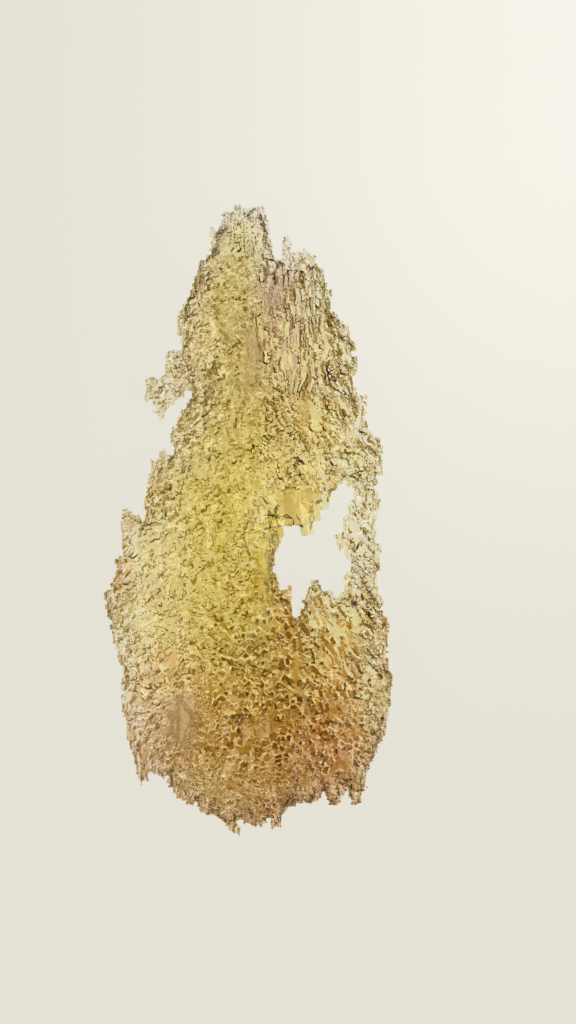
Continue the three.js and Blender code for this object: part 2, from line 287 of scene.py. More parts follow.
@dataclass(frozen=True)
class EtchHills:
    """Etch hills on a jittered lattice, where the highest one shows: steep towards the tip, gentle
    towards the foot, with the ridge along the blade."""

    width: float
    length: float
    height: float
    seed: float
    strays: Span = (0.15, 0.7)  # where in its cell a peak is: from, and how much more
    peaks: Span = (0.55, 0.45)  # how high it is: from, and how much more
    falls: tuple[float, float, float] = (1.25, 1.5, 0.8)  # sideways, towards the tip and the foot

    def at(self, x: Array, y: Array) -> Array:
        """The hills' height at points.

        In each of the nine cells round a point one hill has its peak at a chance place. Its height
        falls from there with the larger of the slopes across and along, and the result is the
        greatest of the nine.

        Args:
            x: the points' x.
            y: their y.

        Returns:
            The heights.
        """
        u, v = x / self.width, y / self.length
        sideways, tipwards, footwards = self.falls
        highest = np.full(x.shape, -1.0)
        for a in (-1, 0, 1):
            for b in (-1, 0, 1):
                i, j = np.floor(u) + a, np.floor(v) + b
                across = u - i - self.strays[0] - self.strays[1] * chance(i, j, self.seed)
                along = v - j - self.strays[0] - self.strays[1] * chance(i, j, self.seed + 1)
                peak = self.peaks[0] + self.peaks[1] * chance(i, j, self.seed + 2)
                fall = np.where(along > 0, tipwards * along, -footwards * along)
                highest = np.maximum(highest, peak - np.maximum(sideways * np.abs(across), fall))
        return self.height * highest


@dataclass(frozen=True)
class Patch:
    """A soft-edged ellipse on the blade, 1 at its middle and 0 well outside."""

    x: float
    y: float
    rx: float
    ry: float
    turn: float = 0.0  # degrees, anticlockwise
    sharpness: float = 2.0  # 2 is a bell, and more is flatter with a quicker edge

    def at(self, x: Array, y: Array) -> Array:
        """How much of each point the patch takes: exp(-r^sharpness), with r the way out in radii.

        Args:
            x: the points' x.
            y: their y.

        Returns:
            The shares, from 0 to 1.
        """
        c, s = math.cos(math.radians(self.turn)), math.sin(math.radians(self.turn))
        u = ((x - self.x) * c + (y - self.y) * s) / self.rx
        v = ((y - self.y) * c - (x - self.x) * s) / self.ry
        return np.exp(-((u * u + v * v) ** (self.sharpness / 2)))


Tone = tuple[Patch, Colour]  # a patch, and three numbers for red, green and blue there


@dataclass(frozen=True)
class Ledge:
    """A step in the front: the side on the right of its way stands rise higher."""

    start: Point
    end: Point
    rise: float
    reach: float  # how far from the line the step fades out
    width: float = 0.5  # half of the step's width

    def at(self, x: Array, y: Array) -> Array:
        """A smooth step across the line, times exp(-(distance / reach)^2).

        Args:
            x: the points' x.
            y: their y.

        Returns:
            The step's height at the points.
        """
        distance, aside = from_segment(x, y, self.start, self.end)
        step = smooth(-self.width, self.width, aside) - 0.5
        return self.rise * step * np.exp(-((distance / self.reach) ** 2))


class Lay(float, Enum):
    """What is left to chance in a style's lattice; the number goes into the seed."""

    ACROSS = 0.0
    SPLIT = 0.2
    ALONG_ROW = 0.4
    ALONG = 0.5
    STREAK = 0.7
    STREAK_START = 0.8
    KEY = 0.9
    WARP_ACROSS = 50.0
    WARP_ALONG = 60.0


@dataclass(frozen=True)
class EtchStyle:
    """How one zone of the blade is etched: its facets, and how much light they and their seams hold back.

    Holding back is in steps of colour depth, so 0 is clear and 1 is dark. Part of it is painted light
    and shade: highlights on ridges, shade in crevices and pits, and a lit and a shaded side on seams."""

    across: float  # the facets' spacing across their long side
    along: float  # and along it
    jitter: Span  # how far seeds stray across and along, as a share of the spacing
    tilt: Span  # the steepest slopes of a facet, across and along
    lift: float  # how far a facet rises or sinks
    facet: Span  # the least and the most that a plain facet holds back
    painted_crevice_shade: Span  # painted shade: what a seam that is a crevice holds back
    turn: float = 0.0  # degrees that the long side leans to the left of the blade's length
    gap: Span = (0.3, 0.6)  # the least and the most that a facet is smaller than its cell
    painted_pit_shade: Span = (0.5, 1.0)  # painted shade: what a pit, a sunk dark facet, holds back
    pits: float = 0.1  # the share of the facets that are pits painted dark
    painted_ridge_light: Span = (-0.4, -0.1)  # painted highlight: what a seam that is a ridge holds back
    ridges: float = 0.5  # the share of the seams that are ridges
    plain: float = 0.1  # the share of the seams that don't show
    painted_emboss: float = 0.5  # the share of the seams with a painted lit side and a painted shaded one
    split: float = 0.0  # the share of the cells that are parted in two
    streak: tuple[int, int] = (1, 1)  # the fewest and the most cells in a row that share one facet
    warp: float = 1.8  # how many cells the lattice wanders by
    warp_cells: float = 5.0  # and over how many
    joined: float = 0.0  # the share of the seams across the lean that don't show
    loose: float = 0.0  # how much of the zone is left to the heart's style

    def lattice(self, number: int, reach: float) -> tuple[Array, Array, Array]:
        """The style's seeds, laid out over the whole blade.

        The lattice's columns lie along the style's lean. Where cells share facets, the columns
        wander slowly and the rows are even; elsewhere the odd rows are half a cell aside, and some
        cells have two seeds, a quarter of a cell to each side.

        Args:
            number: the style's number, which is part of every seed.
            reach: how far from the blade's middle seeds are needed.

        Returns:
            The seeds' x and y, and a number for each one's facet.
        """
        columns = np.arange(-reach // self.across, reach // self.across + 2)
        rows = np.arange(-reach // self.along, reach // self.along + 2)
        i, j = (a.ravel() for a in np.meshgrid(columns, rows))
        twice = chance(i, j, number + Lay.SPLIT) < self.split
        i, j = np.r_[i, i[twice]], np.r_[j, j[twice]]
        aside = np.r_[np.where(twice, -0.25, 0.0), np.full(int(twice.sum()), 0.25)]
        stray_across, stray_along = self.jitter
        fewest, most = self.streak
        if most > 1:
            apart = i * 7.3  # far enough for each column to wander on its own
            p = i + stray_across * noise(apart, j / 3, number)
            q = j + stray_along * noise(apart, j * 0.9, number + Lay.ALONG_ROW)
            length = fewest + np.floor((most - fewest + 1) * chance(i, i, number + Lay.STREAK))
            row = np.floor((j + np.floor(length * chance(i, i, number + Lay.STREAK_START))) / length)
        else:
            own = j + 0.3 * aside  # another number for each of two seeds in a cell
            p = i + 0.5 * (j % 2) + aside + stray_across * (chance(i, own, number + Lay.ACROSS) - 0.5)
            q = j + stray_along * (chance(i, own, number + Lay.ALONG) - 0.5)
            row = j + aside
        u, v = p / self.warp_cells, q / self.warp_cells
        p = p + self.warp * noise(u, v, number + Lay.WARP_ACROSS)
        q = q + self.warp * noise(u, v, number + Lay.WARP_ALONG)
        c, s = math.cos(math.radians(self.turn)), math.sin(math.radians(self.turn))
        x = p * self.across * c - q * self.along * s
        y = p * self.across * s + q * self.along * c
        return x, y, chance(i, row, number + Lay.KEY) * KEYS


class Etch(Enum):
    """The zones' styles."""

    RIM = EtchStyle(
        across=0.34, along=0.5, jitter=(0.8, 0.4), tilt=(0.4, 0.1), lift=0.1, facet=(0.0, 0.25),
        painted_crevice_shade=(0.8, 2.2), pits=0.12, painted_ridge_light=(-0.3, -0.05), plain=0.2, painted_emboss=0.6, streak=(1, 5),
        warp=0.7, joined=0.5,
    )
    HEART = EtchStyle(
        across=0.48, along=0.54, jitter=(0.8, 0.6), tilt=(0.07, 0.05), lift=0.07, facet=(0.1, 0.35),
        painted_crevice_shade=(0.6, 1.6), turn=15, pits=0.06, ridges=0.55, plain=0.2, streak=(1, 2),
    )
    LEFT = EtchStyle(
        across=0.43, along=0.47, jitter=(0.9, 0.7), tilt=(0.12, 0.1), lift=0.09, facet=(-0.05, 0.35),
        painted_crevice_shade=(0.6, 1.8), turn=-50, painted_pit_shade=(0.7, 1.3), pits=0.12, painted_ridge_light=(-0.5, -0.15), ridges=0.6,
        painted_emboss=0.4, streak=(1, 2),
    )
    SHOULDER = EtchStyle(
        across=0.48, along=0.55, jitter=(0.8, 0.5), tilt=(0.12, 0.1), lift=0.1, facet=(-0.05, 0.35),
        painted_crevice_shade=(0.6, 1.9), turn=35, painted_pit_shade=(0.6, 1.1), painted_ridge_light=(-0.5, -0.15), ridges=0.55, streak=(1, 2),
    )
    FINE_NET = EtchStyle(
        across=0.54, along=0.46, jitter=(0.8, 0.8), tilt=(0.05, 0.05), lift=0.04, facet=(0.1, 0.4),
        painted_crevice_shade=(0.4, 1.1), gap=(0.3, 0.55), pits=0.2, ridges=0.6, plain=0.2, split=0.3,
    )
    NET = EtchStyle(
        across=1.05, along=0.82, jitter=(0.8, 0.8), tilt=(0.15, 0.1), lift=0.12, facet=(0.2, 0.6),
        painted_crevice_shade=(0.4, 1.2), gap=(0.25, 0.5), painted_pit_shade=(0.9, 1.6), pits=0.42, ridges=0.7, split=0.4, loose=0.2,
    )
    LEANING_PITS = EtchStyle(
        across=0.7, along=0.52, jitter=(0.7, 0.3), tilt=(0.25, 0.1), lift=0.13, facet=(0.0, 0.5),
        painted_crevice_shade=(0.6, 1.5), turn=22, gap=(0.3, 0.55), painted_pit_shade=(0.8, 1.6), pits=0.33, ridges=0.6,
        streak=(1, 5), warp=1.2, joined=0.3, loose=0.1,
    )
    COLUMNS = EtchStyle(
        across=0.44, along=0.6, jitter=(0.8, 0.3), tilt=(0.25, 0.0), lift=0.13, facet=(-0.1, 0.45),
        painted_crevice_shade=(1.0, 2.8), turn=-2, painted_pit_shade=(0.5, 1.2), painted_ridge_light=(-0.6, -0.2), plain=0.05, streak=(1, 4),
        warp=1.2, joined=0.1,
    )
    RIDGES = EtchStyle(
        across=0.46, along=0.6, jitter=(0.9, 0.6), tilt=(0.3, 0.1), lift=0.15, facet=(-0.1, 0.4),
        painted_crevice_shade=(1.2, 3.2), turn=35, painted_pit_shade=(0.8, 1.6), pits=0.18, painted_ridge_light=(-0.6, -0.2), plain=0.05,
        streak=(1, 4), warp=1.6, joined=0.2,
    )
    PRISMS = EtchStyle(
        across=1.2, along=1.6, jitter=(0.3, 0.0), tilt=(0.25, 0.0), lift=0.1, facet=(0.1, 0.35),
        painted_crevice_shade=(0.3, 0.9), gap=(0.1, 0.2), painted_pit_shade=(0.4, 0.6), painted_ridge_light=(0.0, 0.12), plain=0.3, painted_emboss=0.6,
        streak=(3, 6), warp=0.6, joined=1.0,
    )


def pick(name: str, style: Array) -> Array:
    """One of the styles' values, for each style's number that is given."""
    return np.array([getattr(etch.value, name) for etch in Etch])[style]


class Lot(IntEnum):
    """What is left to chance for each facet or seam; the numbers are the seeds."""

    TILT_ACROSS = 5
    TILT_ALONG = 6
    LIFT = 7
    GAP = 8
    HELD = 9
    DARK = 10
    RIDGE = 21
    BRIGHT_SIDE = 22
    DARK_SIDE = 23
    HIDDEN = 24
    EMBOSSED = 25

    def drawn(self, key: Array) -> Array:
        """A repeatable number from 0 to 1 for each key, by the cell (key, 0.7 key)."""
        return chance(key, key * 0.7, self)

    def within(self, span: Array, key: Array) -> Array:
        """A repeatable value for each key, between the two in its row."""
        return span[:, 0] + (span[:, 1] - span[:, 0]) * self.drawn(key)


@dataclass
class FacetPlan:
    """How each facet lies and what it holds back: arrays with one value, or one row, for each."""

    seed: Array
    slope: Array
    lift: Array
    gap: Array
    held: Array
    style: Array  # the number of its style
    key: Array  # a number for the facet, the same for cells that share one

    def height(self, facet: Array, places: Array) -> Array:
        """A facet's plane at places: its lift, plus its slopes times the way from its seed."""
        return self.lift[facet] + (self.slope[facet] * (places - self.seed[facet])).sum(axis=-1)


@dataclass
class Tiling:
    """Seeds on the blade, the triangles between them and the cells round them.

    A cell is the set of places nearest to its seed. Its corners are the middles of the circles
    through the three seeds of each triangle. A facet is its cell made smaller about its seed, which
    leaves the seams between the facets."""

    seeds: Array
    triangles: Array
    corners: Array

    @classmethod
    def of_seeds(cls, seeds: Array) -> "Tiling":
        """Joins seeds into triangles with empty circles, anticlockwise, and finds the circles' middles.

        With b and c the ways from a triangle's first seed to the others, the middle is away from
        that seed by (c_y b^2 - b_y c^2, b_x c^2 - c_x b^2) over four times the area.

        Args:
            seeds: the seeds' places, two numbers a row.

        Returns:
            The tiling.
        """
        _, _, faces, origins, _, _ = delaunay_2d_cdt([Vector(p) for p in seeds], [], [], 0, 1e-7)
        triangles = np.array([origins[n][0] for face in faces for n in face]).reshape(-1, 3)
        a, b, c = (seeds[triangles[:, k]] for k in range(3))
        b, c = b - a, c - a
        twice_area = b[:, 0] * c[:, 1] - b[:, 1] * c[:, 0]
        turned = twice_area < 0
        triangles[turned] = triangles[turned][:, ::-1]
        bb, cc = (b * b).sum(axis=1), (c * c).sum(axis=1)
        x = (c[:, 1] * bb - b[:, 1] * cc) / (2 * twice_area)
        y = (b[:, 0] * cc - c[:, 0] * bb) / (2 * twice_area)
        return cls(seeds, triangles, a + np.c_[x, y])

    def pairs(self) -> tuple[Array, Array]:
        """Matches the triangles' directed sides, as 3 t + k, with the same sides run backwards.

        Returns:
            The first side of each match and the second.
        """
        a, b = self.triangles, np.roll(self.triangles, -1, axis=1)
        key = (np.minimum(a, b) * len(self.seeds) + np.maximum(a, b)).ravel()
        order = np.argsort(key, kind="stable")
        same = np.flatnonzero(key[order][1:] == key[order][:-1])
        return order[same], order[same + 1]

    def fans(self) -> tuple[Array, Array]:
        """Each cell cut into triangles that share its first corner.

        Returns:
            The triangles, as corner numbers 3 t + k, and the cell that each belongs to.
        """
        cell = self.triangles.ravel()
        arm = np.repeat(self.corners, 3, axis=0) - self.seeds[cell]
        order = np.lexsort((np.arctan2(arm[:, 1], arm[:, 0]), cell))
        cell = cell[order]
        begins = np.flatnonzero(np.r_[True, cell[1:] != cell[:-1]])
        first = np.repeat(begins, np.diff(np.r_[begins, len(cell)]))
        place = np.arange(len(cell))
        whole = (place > first) & (np.r_[cell[1:], -1] == cell)
        return np.c_[order[first[whole]], order[place[whole]], order[place[whole] + 1]], cell[whole]

    def facet_corners(self, gap: Array) -> Array:
        """Each triangle's three facet corners: its circle's middle moved by gap towards each seed."""
        arm = self.seeds[self.triangles] - self.corners[:, None]
        return self.corners[:, None] + gap[self.triangles][..., None] * arm


def end_of(side: Array) -> Array:
    """The corner where a triangle's side ends; a side has the number of the corner it starts from."""
    return side - side % 3 + (side % 3 + 1) % 3


@dataclass
class EtchedBlade:
    """The crystal: its outline, thickness and etching, and the closed mesh made from them."""

    body_thickness: float = 4.2
    front_share: float = 0.62  # how much of the thickness is above the rim's level
    least_half: float = 0.25  # the least that the front and the back leave that level by
    mounds: tuple[tuple[Patch, float], ...] = (  # of the thickness, each with its rise
        (Patch(-1.5, 3, 10, 21), 4.2),  # heart
        (Patch(2, -27, 14, 14), 3.0),  # lower body
        (Patch(-3, 30, 8, 12), 1.4),  # upper shoulder
        (Patch(12, 22, 6, 12), 0.7),  # upper right
        (Patch(17.5, -3, 4.5, 14), -1.3),  # right strip
        (Patch(-17, -14, 6, 20), -0.9),  # left margin
        (Patch(-12, 21, 6, 7), -1.8),  # flange
        (Patch(7, -1.5, 3.5, 3.5), -2.0),  # by the prisms
    )
    ledges: tuple[Ledge, ...] = (
        Ledge((-9.6, 17.8), (-2.0, 25.8), 1.5, 7),
        Ledge((-11.6, 12.0), (-5.4, 15.4), -0.7, 4),
        Ledge((0.8, 17), (0.8, 41), -0.9, 5),
        Ledge((2.0, 19.8), (14.5, 18.2), 0.9, 6),
        Ledge((7.6, -16), (12, -34), -0.6, 5),
    )
    rim_height: float = 2.8
    rim_waves: Waves = Waves(9, 11, 8, 0.7)  # by which the rim's height changes
    body_fall: float = 5.0  # how far inside the rim the thickness has two thirds of its size
    hills_fall: float = 1.3  # the same for the hills and the ledges
    facets_fall: float = 0.9  # and for the facets' own relief
    margin: float = 2.5  # how far outside the rim cells are laid out
    mirrored: float = 0.3  # how much of the facets' relief is on the back too
    teeth: tuple[Waves, Waves] = (Waves(1.15, 3.4, 5, 0.36), Waves(0.5, 1.3, 15, 0.22))
    lean: tuple[float, float, float] = (3.0, 14.0, 0.55)  # from, to, most
    front_hills: EtchHills = EtchHills(3.3, 5.6, 1.0, 3)
    back_hills: EtchHills = EtchHills(4.4, 6.6, 0.8, 11)
    prism_row: Span = (-4.0, 4.6)  # from the ends of the prisms to their roots
    prism_left: float = 4.4
    prisms: tuple[Point, ...] = ((7.7, 0.2), (10.3, 0.6), (12.9, 0.3))  # right side and height of each
    prism_fades: tuple[float, float, float] = (1.0, 1.2, 2.0)  # at the ends, the roots and the left
    zones: tuple[tuple[Etch, tuple[Patch, ...]], ...] = (  # the later over the earlier, heart elsewhere
        (Etch.LEFT, (Patch(-14, -12, 8, 22, 0, 4), Patch(-8, 17, 5, 6, 0, 4))),
        (Etch.SHOULDER, (Patch(-5, 30, 6, 10, 0, 4),)),
        (Etch.FINE_NET, (Patch(1, -33, 17, 11, 0, 4),)),
        (Etch.NET, (Patch(2.5, -25, 8, 13, 0, 4), Patch(12, -33, 6, 5, 0, 4))),
        (Etch.LEANING_PITS, (Patch(11.5, -20, 5.5, 12, 10, 4),)),
        (Etch.RIDGES, (
            Patch(18, -8, 3.2, 22, 0, 4), Patch(13.5, 16, 5, 14, 15, 4), Patch(6, 12, 5, 7.5, 10, 4),
        )),
        (Etch.COLUMNS, (
            Patch(6.5, 29, 6, 13, 5, 4), Patch(1, 44, 6, 5, 0, 4), Patch(8, -9, 2.5, 5, 0, 4),
        )),
        (Etch.PRISMS, (Patch(8.8, 0.4, 4.6, 4.6, 0, 8),)),
    )
    zone_waves: tuple[Waves, Waves] = (Waves(2.5, 2.5, 33, 0.25), Waves(0.9, 0.9, 34, 0.25))
    loose_waves: Waves = Waves(1.5, 1.1, 35)  # where a loose zone has gaps
    rim_width: float = 0.8  # how far inside the rim its own style reaches
    dark_lift: float = -1.3  # how far a pit, a facet painted dark, rises, as a share of the most a plain one does
    heart: Point = (-1.5, 3.0)
    calm_patches: tuple[Patch, ...] = (  # where the etching is smooth
        Patch(4.1, 33.4, 1.7, 3.8, 0, 4), Patch(0.4, 23.2, 1.5, 5.5, 0, 4),
        Patch(10.4, 16.2, 0.8, 3.4, 0, 4), Patch(8.6, 16.3, 1.1, 2.9, 0, 4), Patch(-2.9, 30, 2, 3, 0, 4),
        Patch(2.8, -7.5, 1.7, 5.5, 0, 4), Patch(6.4, 2, 1.5, 2.8, 0, 6), Patch(9.2, 1, 1.6, 4, 0, 6),
        Patch(-9.8, -29.5, 2.4, 4, 0, 4),
    )
    calm_waves: Waves = Waves(1.8, 2.6, 44)
    calm_span: Span = (0.5, 0.9)  # the waves where it starts to be smooth and is so
    calm_flatness: float = 0.7  # how much of the facets' relief a smooth place lacks
    calm_evenness: float = 0.8  # and how much of what facets and seams hold back
    calm_held: float = 0.2  # the steps that it holds back instead
    deep: float = 0.65  # what a facet holds back past which the seam on its side to the light is always a ridge with a painted highlight
    least_run: float = 0.6  # how far apart across the lean seeds are whose seam runs along it
    aslant: float = 12.0  # how far from the middle the painted light falls at half a right angle
    light_waves: Waves = Waves(2.2, 2.6, 70, 1.1)  # by which that changes from place to place
    from_left: tuple[Patch, float] = (Patch(7, 29, 6, 12, 0, 4), 2.0)  # where the painted light comes more from the left: the columns, and how much
    relief: float = 1.6  # painted shade: the steps of depth between a level face and one that slopes by 1 towards or away from the light
    steepest: float = 0.6  # the slope past which that grows no more
    cloud_waves: Waves = Waves(4, 6, 42, 0.04)  # slow changes of what all the etching holds back
    rim_reach: float = 2.0  # how far inside the rim its hue goes
    rim_steps: Span = (0.7, 0.3)  # how much of the steps shows at the rim, and more inside
    rim_hue: Colour = (0.02, 0.08, 0.27)  # what the tint holds back at the rim
    body_hue: Colour = (0.005, 0.024, 0.136)  # and what it does for each millimetre of thickness
    etch_hue: Colour = (0.9, 1.15, 2.4)  # what one step holds back
    hues: tuple[Tone, ...] = (  # and what it does in patches
        (Patch(-13, -8, 9, 20), (0.9, 1.1, 2.3)),
        (Patch(-10, 22, 8, 8), (0.9, 1.06, 1.7)),
        (Patch(-2, -2, 8, 16), (0.9, 1.12, 3.2)),
        (Patch(0.5, 46, 6, 5), (0.9, 1.06, 1.5)),
        (Patch(4, -32, 18, 12), (0.9, 1.27, 2.6)),
        (Patch(4.5, 31, 4, 14, -3), (0.9, 1.3, 2.1)),
        (Patch(14, 14, 6, 14), (0.9, 1.15, 2.2)),
        (Patch(17.5, -4, 4, 14), (0.9, 1.06, 1.6)),
    )
    veils: tuple[Tone, ...] = (  # patches that hold back more light or less, in all
        (Patch(-13, -8, 6, 18), (-0.14, -0.12, -0.14)), (Patch(-15, -14, 5, 12), (-0.12, -0.08, -0.15)),
        (Patch(-9, 8, 4, 6), (-0.12, -0.1, -0.15)), (Patch(9, -35, 9, 9), (0.0, 0.12, 0.1)),
        (Patch(5, -14, 3, 4), (0.0, 0.12, 0.25)), (Patch(11.6, 26, 4, 5), (-0.18, -0.12, -0.18)),
        (Patch(-12, -27, 7, 8), (-0.1, 0.0, -0.1)), (Patch(3, -33, 16, 11), (0.37, 0.72, 1.25)),
        (Patch(7, -32, 5, 9), (0.08, 0.12, 0.15)), (Patch(3, -21, 5, 4), (0.08, 0.12, 0.15)),
        (Patch(5.5, 33, 4, 8), (0.1, 0.22, 0.0)), (Patch(0.4, 26, 3, 5), (0.15, 0.2, 0.05)),
        (Patch(-12, 20, 6, 7), (0.0, 0.05, 0.15)), (Patch(7.1, 25, 3.5, 6), (-0.2, -0.2, -0.85)),
        (Patch(7.1, 17, 4, 5), (-0.05, 0.05, -0.1)), (Patch(14, 11, 5, 9), (-0.37, -0.36, -0.42)),
        (Patch(17.5, -4, 4, 12), (-0.27, -0.22, -0.12)), (Patch(1, -44, 16, 5), (0.15, 0.4, 0.6)),
        (Patch(0.5, 46, 8, 5), (-0.45, -0.42, -0.85)), (Patch(1, 6, 5, 5), (-0.08, -0.1, -0.25)),
        (Patch(1.5, -1, 5, 5), (-0.16, -0.16, -0.05)), (Patch(1.5, -9, 4, 6), (0.05, 0.12, 0.45)),
        (Patch(7, -15, 3, 6), (-0.1, 0.15, 0.6)), (Patch(13.9, -14, 4, 4), (-0.15, -0.1, 0.0)),
        (Patch(7.5, 0, 5, 4), (-0.28, -0.16, 0.1)), (Patch(7.1, 6, 3, 3), (0.06, 0.18, 0.6)),
        (Patch(-13, -35, 7, 6), (0.12, 0.3, 0.4)), (Patch(14, -34, 5, 7), (0.1, 0.36, 0.5)),
        (Patch(-6.4, 36, 3, 5), (0.08, 0.2, 0.4)), (Patch(-6.4, 26, 3, 4), (-0.1, 0.0, 0.12)),
        (Patch(-9, 19.5, 3, 4), (0.1, 0.2, 0.35)), (Patch(-20.5, -8, 4, 8), (0.15, 0.35, 0.7)),
        (Patch(-15, 6, 4, 6), (0.04, 0.14, 0.3)), (Patch(-13, -7.5, 5, 7), (-0.24, -0.2, -0.2)),
        (Patch(-13, -21, 5, 5), (-0.2, -0.1, -0.22)), (Patch(-6.4, -7, 4, 10), (-0.14, -0.13, -0.25)),
        (Patch(20.6, -18, 3, 8), (0.1, 0.25, 0.6)), (Patch(0.4, 19.5, 4, 4), (0.08, 0.12, 0.0)),
        (Patch(0.4, 30, 4, 7), (0.0, 0.0, -0.2)), (Patch(0, 11, 9, 6), (0.0, 0.0, -0.18)),
        (Patch(7.1, 40, 3, 3), (-0.3, -0.38, -0.5)), (Patch(14, 19.5, 3, 4), (0.22, 0.42, 0.85)),
        (Patch(14, 6, 4, 4), (0.0, 0.05, 0.25)), (Patch(6.5, 11.5, 3, 6), (-0.26, -0.27, -0.45)),
        (Patch(14, 12.8, 3, 3), (-0.12, -0.1, -0.2)), (Patch(16, -1, 3, 6), (-0.2, -0.2, -0.2)),
        (Patch(14, -14, 3, 4), (-0.34, -0.24, -0.16)), (Patch(14, -21, 4, 4), (-0.12, -0.04, -0.1)),
        (Patch(0.4, -11, 4, 6), (0.0, 0.08, 0.45)), (Patch(10.4, 16.2, 0.9, 3.3, 0, 4), (-0.5, -0.5, -1.2)),
        (Patch(8.7, 16.5, 0.9, 3.2, 0, 4), (0.24, 0.26, 0.55)),
        (Patch(4.4, 15, 2, 5, 15, 4), (0.1, 0.12, 0.14)), (Patch(8, 11, 2, 5, 0, 4), (-0.12, -0.12, -0.16)),
        (Patch(6.2, 2, 1.3, 2.6, 0, 4), (0.2, 0.2, 0.4)), (Patch(-14, 3, 4, 6), (0.05, 0.1, 0.35)),
        (Patch(-6.8, 27, 3, 9), (0.03, 0.07, 0.16)), (Patch(0.4, -7.5, 3, 4), (0.08, 0.14, 0.55)),
        (Patch(-20, -7, 3, 5), (0.18, 0.26, 0.4)), (Patch(-11, -26, 6, 7), (0.05, 0.12, 0.05)),
        (Patch(-9.8, -29, 3.2, 5, 0, 4), (0.22, 0.08, -0.25)), (Patch(7.1, 26.3, 3, 4), (0.0, 0.0, -0.2)),
        (Patch(0.4, 47, 4, 3), (-0.15, -0.15, -0.35)),
        (Patch(-13.5, 20, 5, 6, 0, 4), (-0.14, -0.12, -0.12)), (Patch(14, -20, 5, 10), (-0.12, 0.0, -0.03)),
        (Patch(7, 33.5, 3, 3), (0.06, 0.08, 0.06)),
        (Patch(11.3, 6.8, 0.45, 0.45, 0, 4), (-1.0, -1.0, -1.0)),  # a painted glint
        (Patch(16.0, -12.5, 0.5, 0.5, 0, 4), (2.5, 2.8, 3.0)),  # a dark speck
        (Patch(16.9, -11.7, 1.2, 0.4, -30, 4), (0.5, 0.5, 0.5)),  # and its smear
    )

    def calm(self, x: Array, y: Array) -> Array:
        """How smooth the etching is at points, from 0 to 1: by chance, and in the patches that show it."""
        by_chance = smooth(*self.calm_span, self.calm_waves.at(x, y))
        return np.maximum.reduce([by_chance, *(patch.at(x, y) for patch in self.calm_patches)])

    def hue_at(self, x: Array, y: Array) -> Array:
        """What one step of colour depth holds back at points, blended from the patches in turn.

        Args:
            x: the points' x.
            y: their y.

        Returns:
            What it holds back of red, green and blue, in a last axis.
        """
        hue = np.broadcast_to(np.array(self.etch_hue), (*x.shape, 3)).copy()
        for patch, colour in self.hues:
            hue += patch.at(x, y)[..., None] * (np.array(colour) - hue)
        return hue

    def style_at(self, x: Array, y: Array) -> Array:
        """Which style etches each point.

        A zone has the points where the greatest of its patches' shares, moved by noise, is over a
        half, less some by chance where it is loose. The rim's style goes over all but the prisms.

        Args:
            x: the points' x.
            y: their y.

        Returns:
            The styles' numbers.
        """
        styles = list(Etch)
        chosen = np.full(x.shape, styles.index(Etch.HEART))
        wander = sum(waves.at(x, y) for waves in self.zone_waves)
        for etch, patches in self.zones:
            share = np.maximum.reduce([patch.at(x, y) for patch in patches])
            loose = self.loose_waves.at(x, y) > 1 - 2 * etch.value.loose
            chosen[(share + wander > 0.5) & ~loose] = styles.index(etch)
        by_rim = np.abs(self.depth_inside(x, y)) < self.rim_width
        chosen[by_rim & (chosen != styles.index(Etch.PRISMS))] = styles.index(Etch.RIM)
        return chosen

    def depth_inside(self, x: Array, y: Array) -> Array:
        """How far points are inside the material: the outline less the window, with etched teeth.

        The lesser of the distance inside the rim and outside the window, moved by two sizes of
        noise that is drawn out along the blade.

        Args:
            x: the points' x.
            y: their y.

        Returns:
            The distances; below 0 is outside.
        """
        depth = np.minimum(inside_of(RIM, x, y), -inside_of(WINDOW, x, y))
        for teeth in self.teeth:
            depth += teeth.ragged_at(x, y)
        return depth

    def rim_level(self, x: Array, y: Array) -> Array:
        """The rim's height, where front and back meet: level, plus slow noise."""
        return self.rim_height + self.rim_waves.at(x, y)

    def leaning_hills(self, hills: EtchHills, x: Array, y: Array) -> Array:
        """Large hills whose lines lean to the right more and more towards the right edge."""
        start, end, most = self.lean
        return hills.at(x + most * smooth(start, end, x) * y, y)

    def prism_relief(self, x: Array, y: Array) -> tuple[Array, Array]:
        """How much of each point belongs to the prisms above the window, and their flat height.

        The share has smooth steps at the prisms' ends, roots and left side, and stops at the right.

        Args:
            x: the points' x.
            y: their y.

        Returns:
            The shares, from 0 to 1, and the heights.
        """
        bottom, top = self.prism_row
        at_ends, at_roots, at_left = self.prism_fades
        sides, heights = zip(*self.prisms)
        share = smooth(top, top - at_roots, y) * smooth(bottom - at_ends, bottom, y)
        share = share * smooth(self.prism_left - at_left, self.prism_left, x) * (x < sides[-1])
        return share, np.select([x < side for side in sides], heights, 0.0)

    def faces(self, x: Array, y: Array, depth: Array) -> tuple[Array, Array]:
        """The heights of the front and the back.

        Both leave the rim's level by their share of the thickness, which grows with the depth d
        inside the rim as 1 - exp(-d / fall), plus the etching, which grows in the same way.

        Args:
            x: the points' x.
            y: their y.
            depth: how far they are inside the rim.

        Returns:
            The front's heights and the back's.
        """
        thickness = self.body_thickness + sum(rise * patch.at(x, y) for patch, rise in self.mounds)
        thickness = thickness * (1 - np.exp(-depth / self.body_fall))
        roughness = 1 - np.exp(-depth / self.hills_fall)
        share, rise = self.prism_relief(x, y)
        etched = self.leaning_hills(self.front_hills, x, y) + sum(ledge.at(x, y) for ledge in self.ledges)
        front = self.front_share * thickness + roughness * (etched * (1 - share) + rise * share)
        back = (1 - self.front_share) * thickness + roughness * self.leaning_hills(self.back_hills, x, y)
        level = self.rim_level(x, y)
        return level + np.maximum(self.least_half, front), level - np.maximum(self.least_half, back)

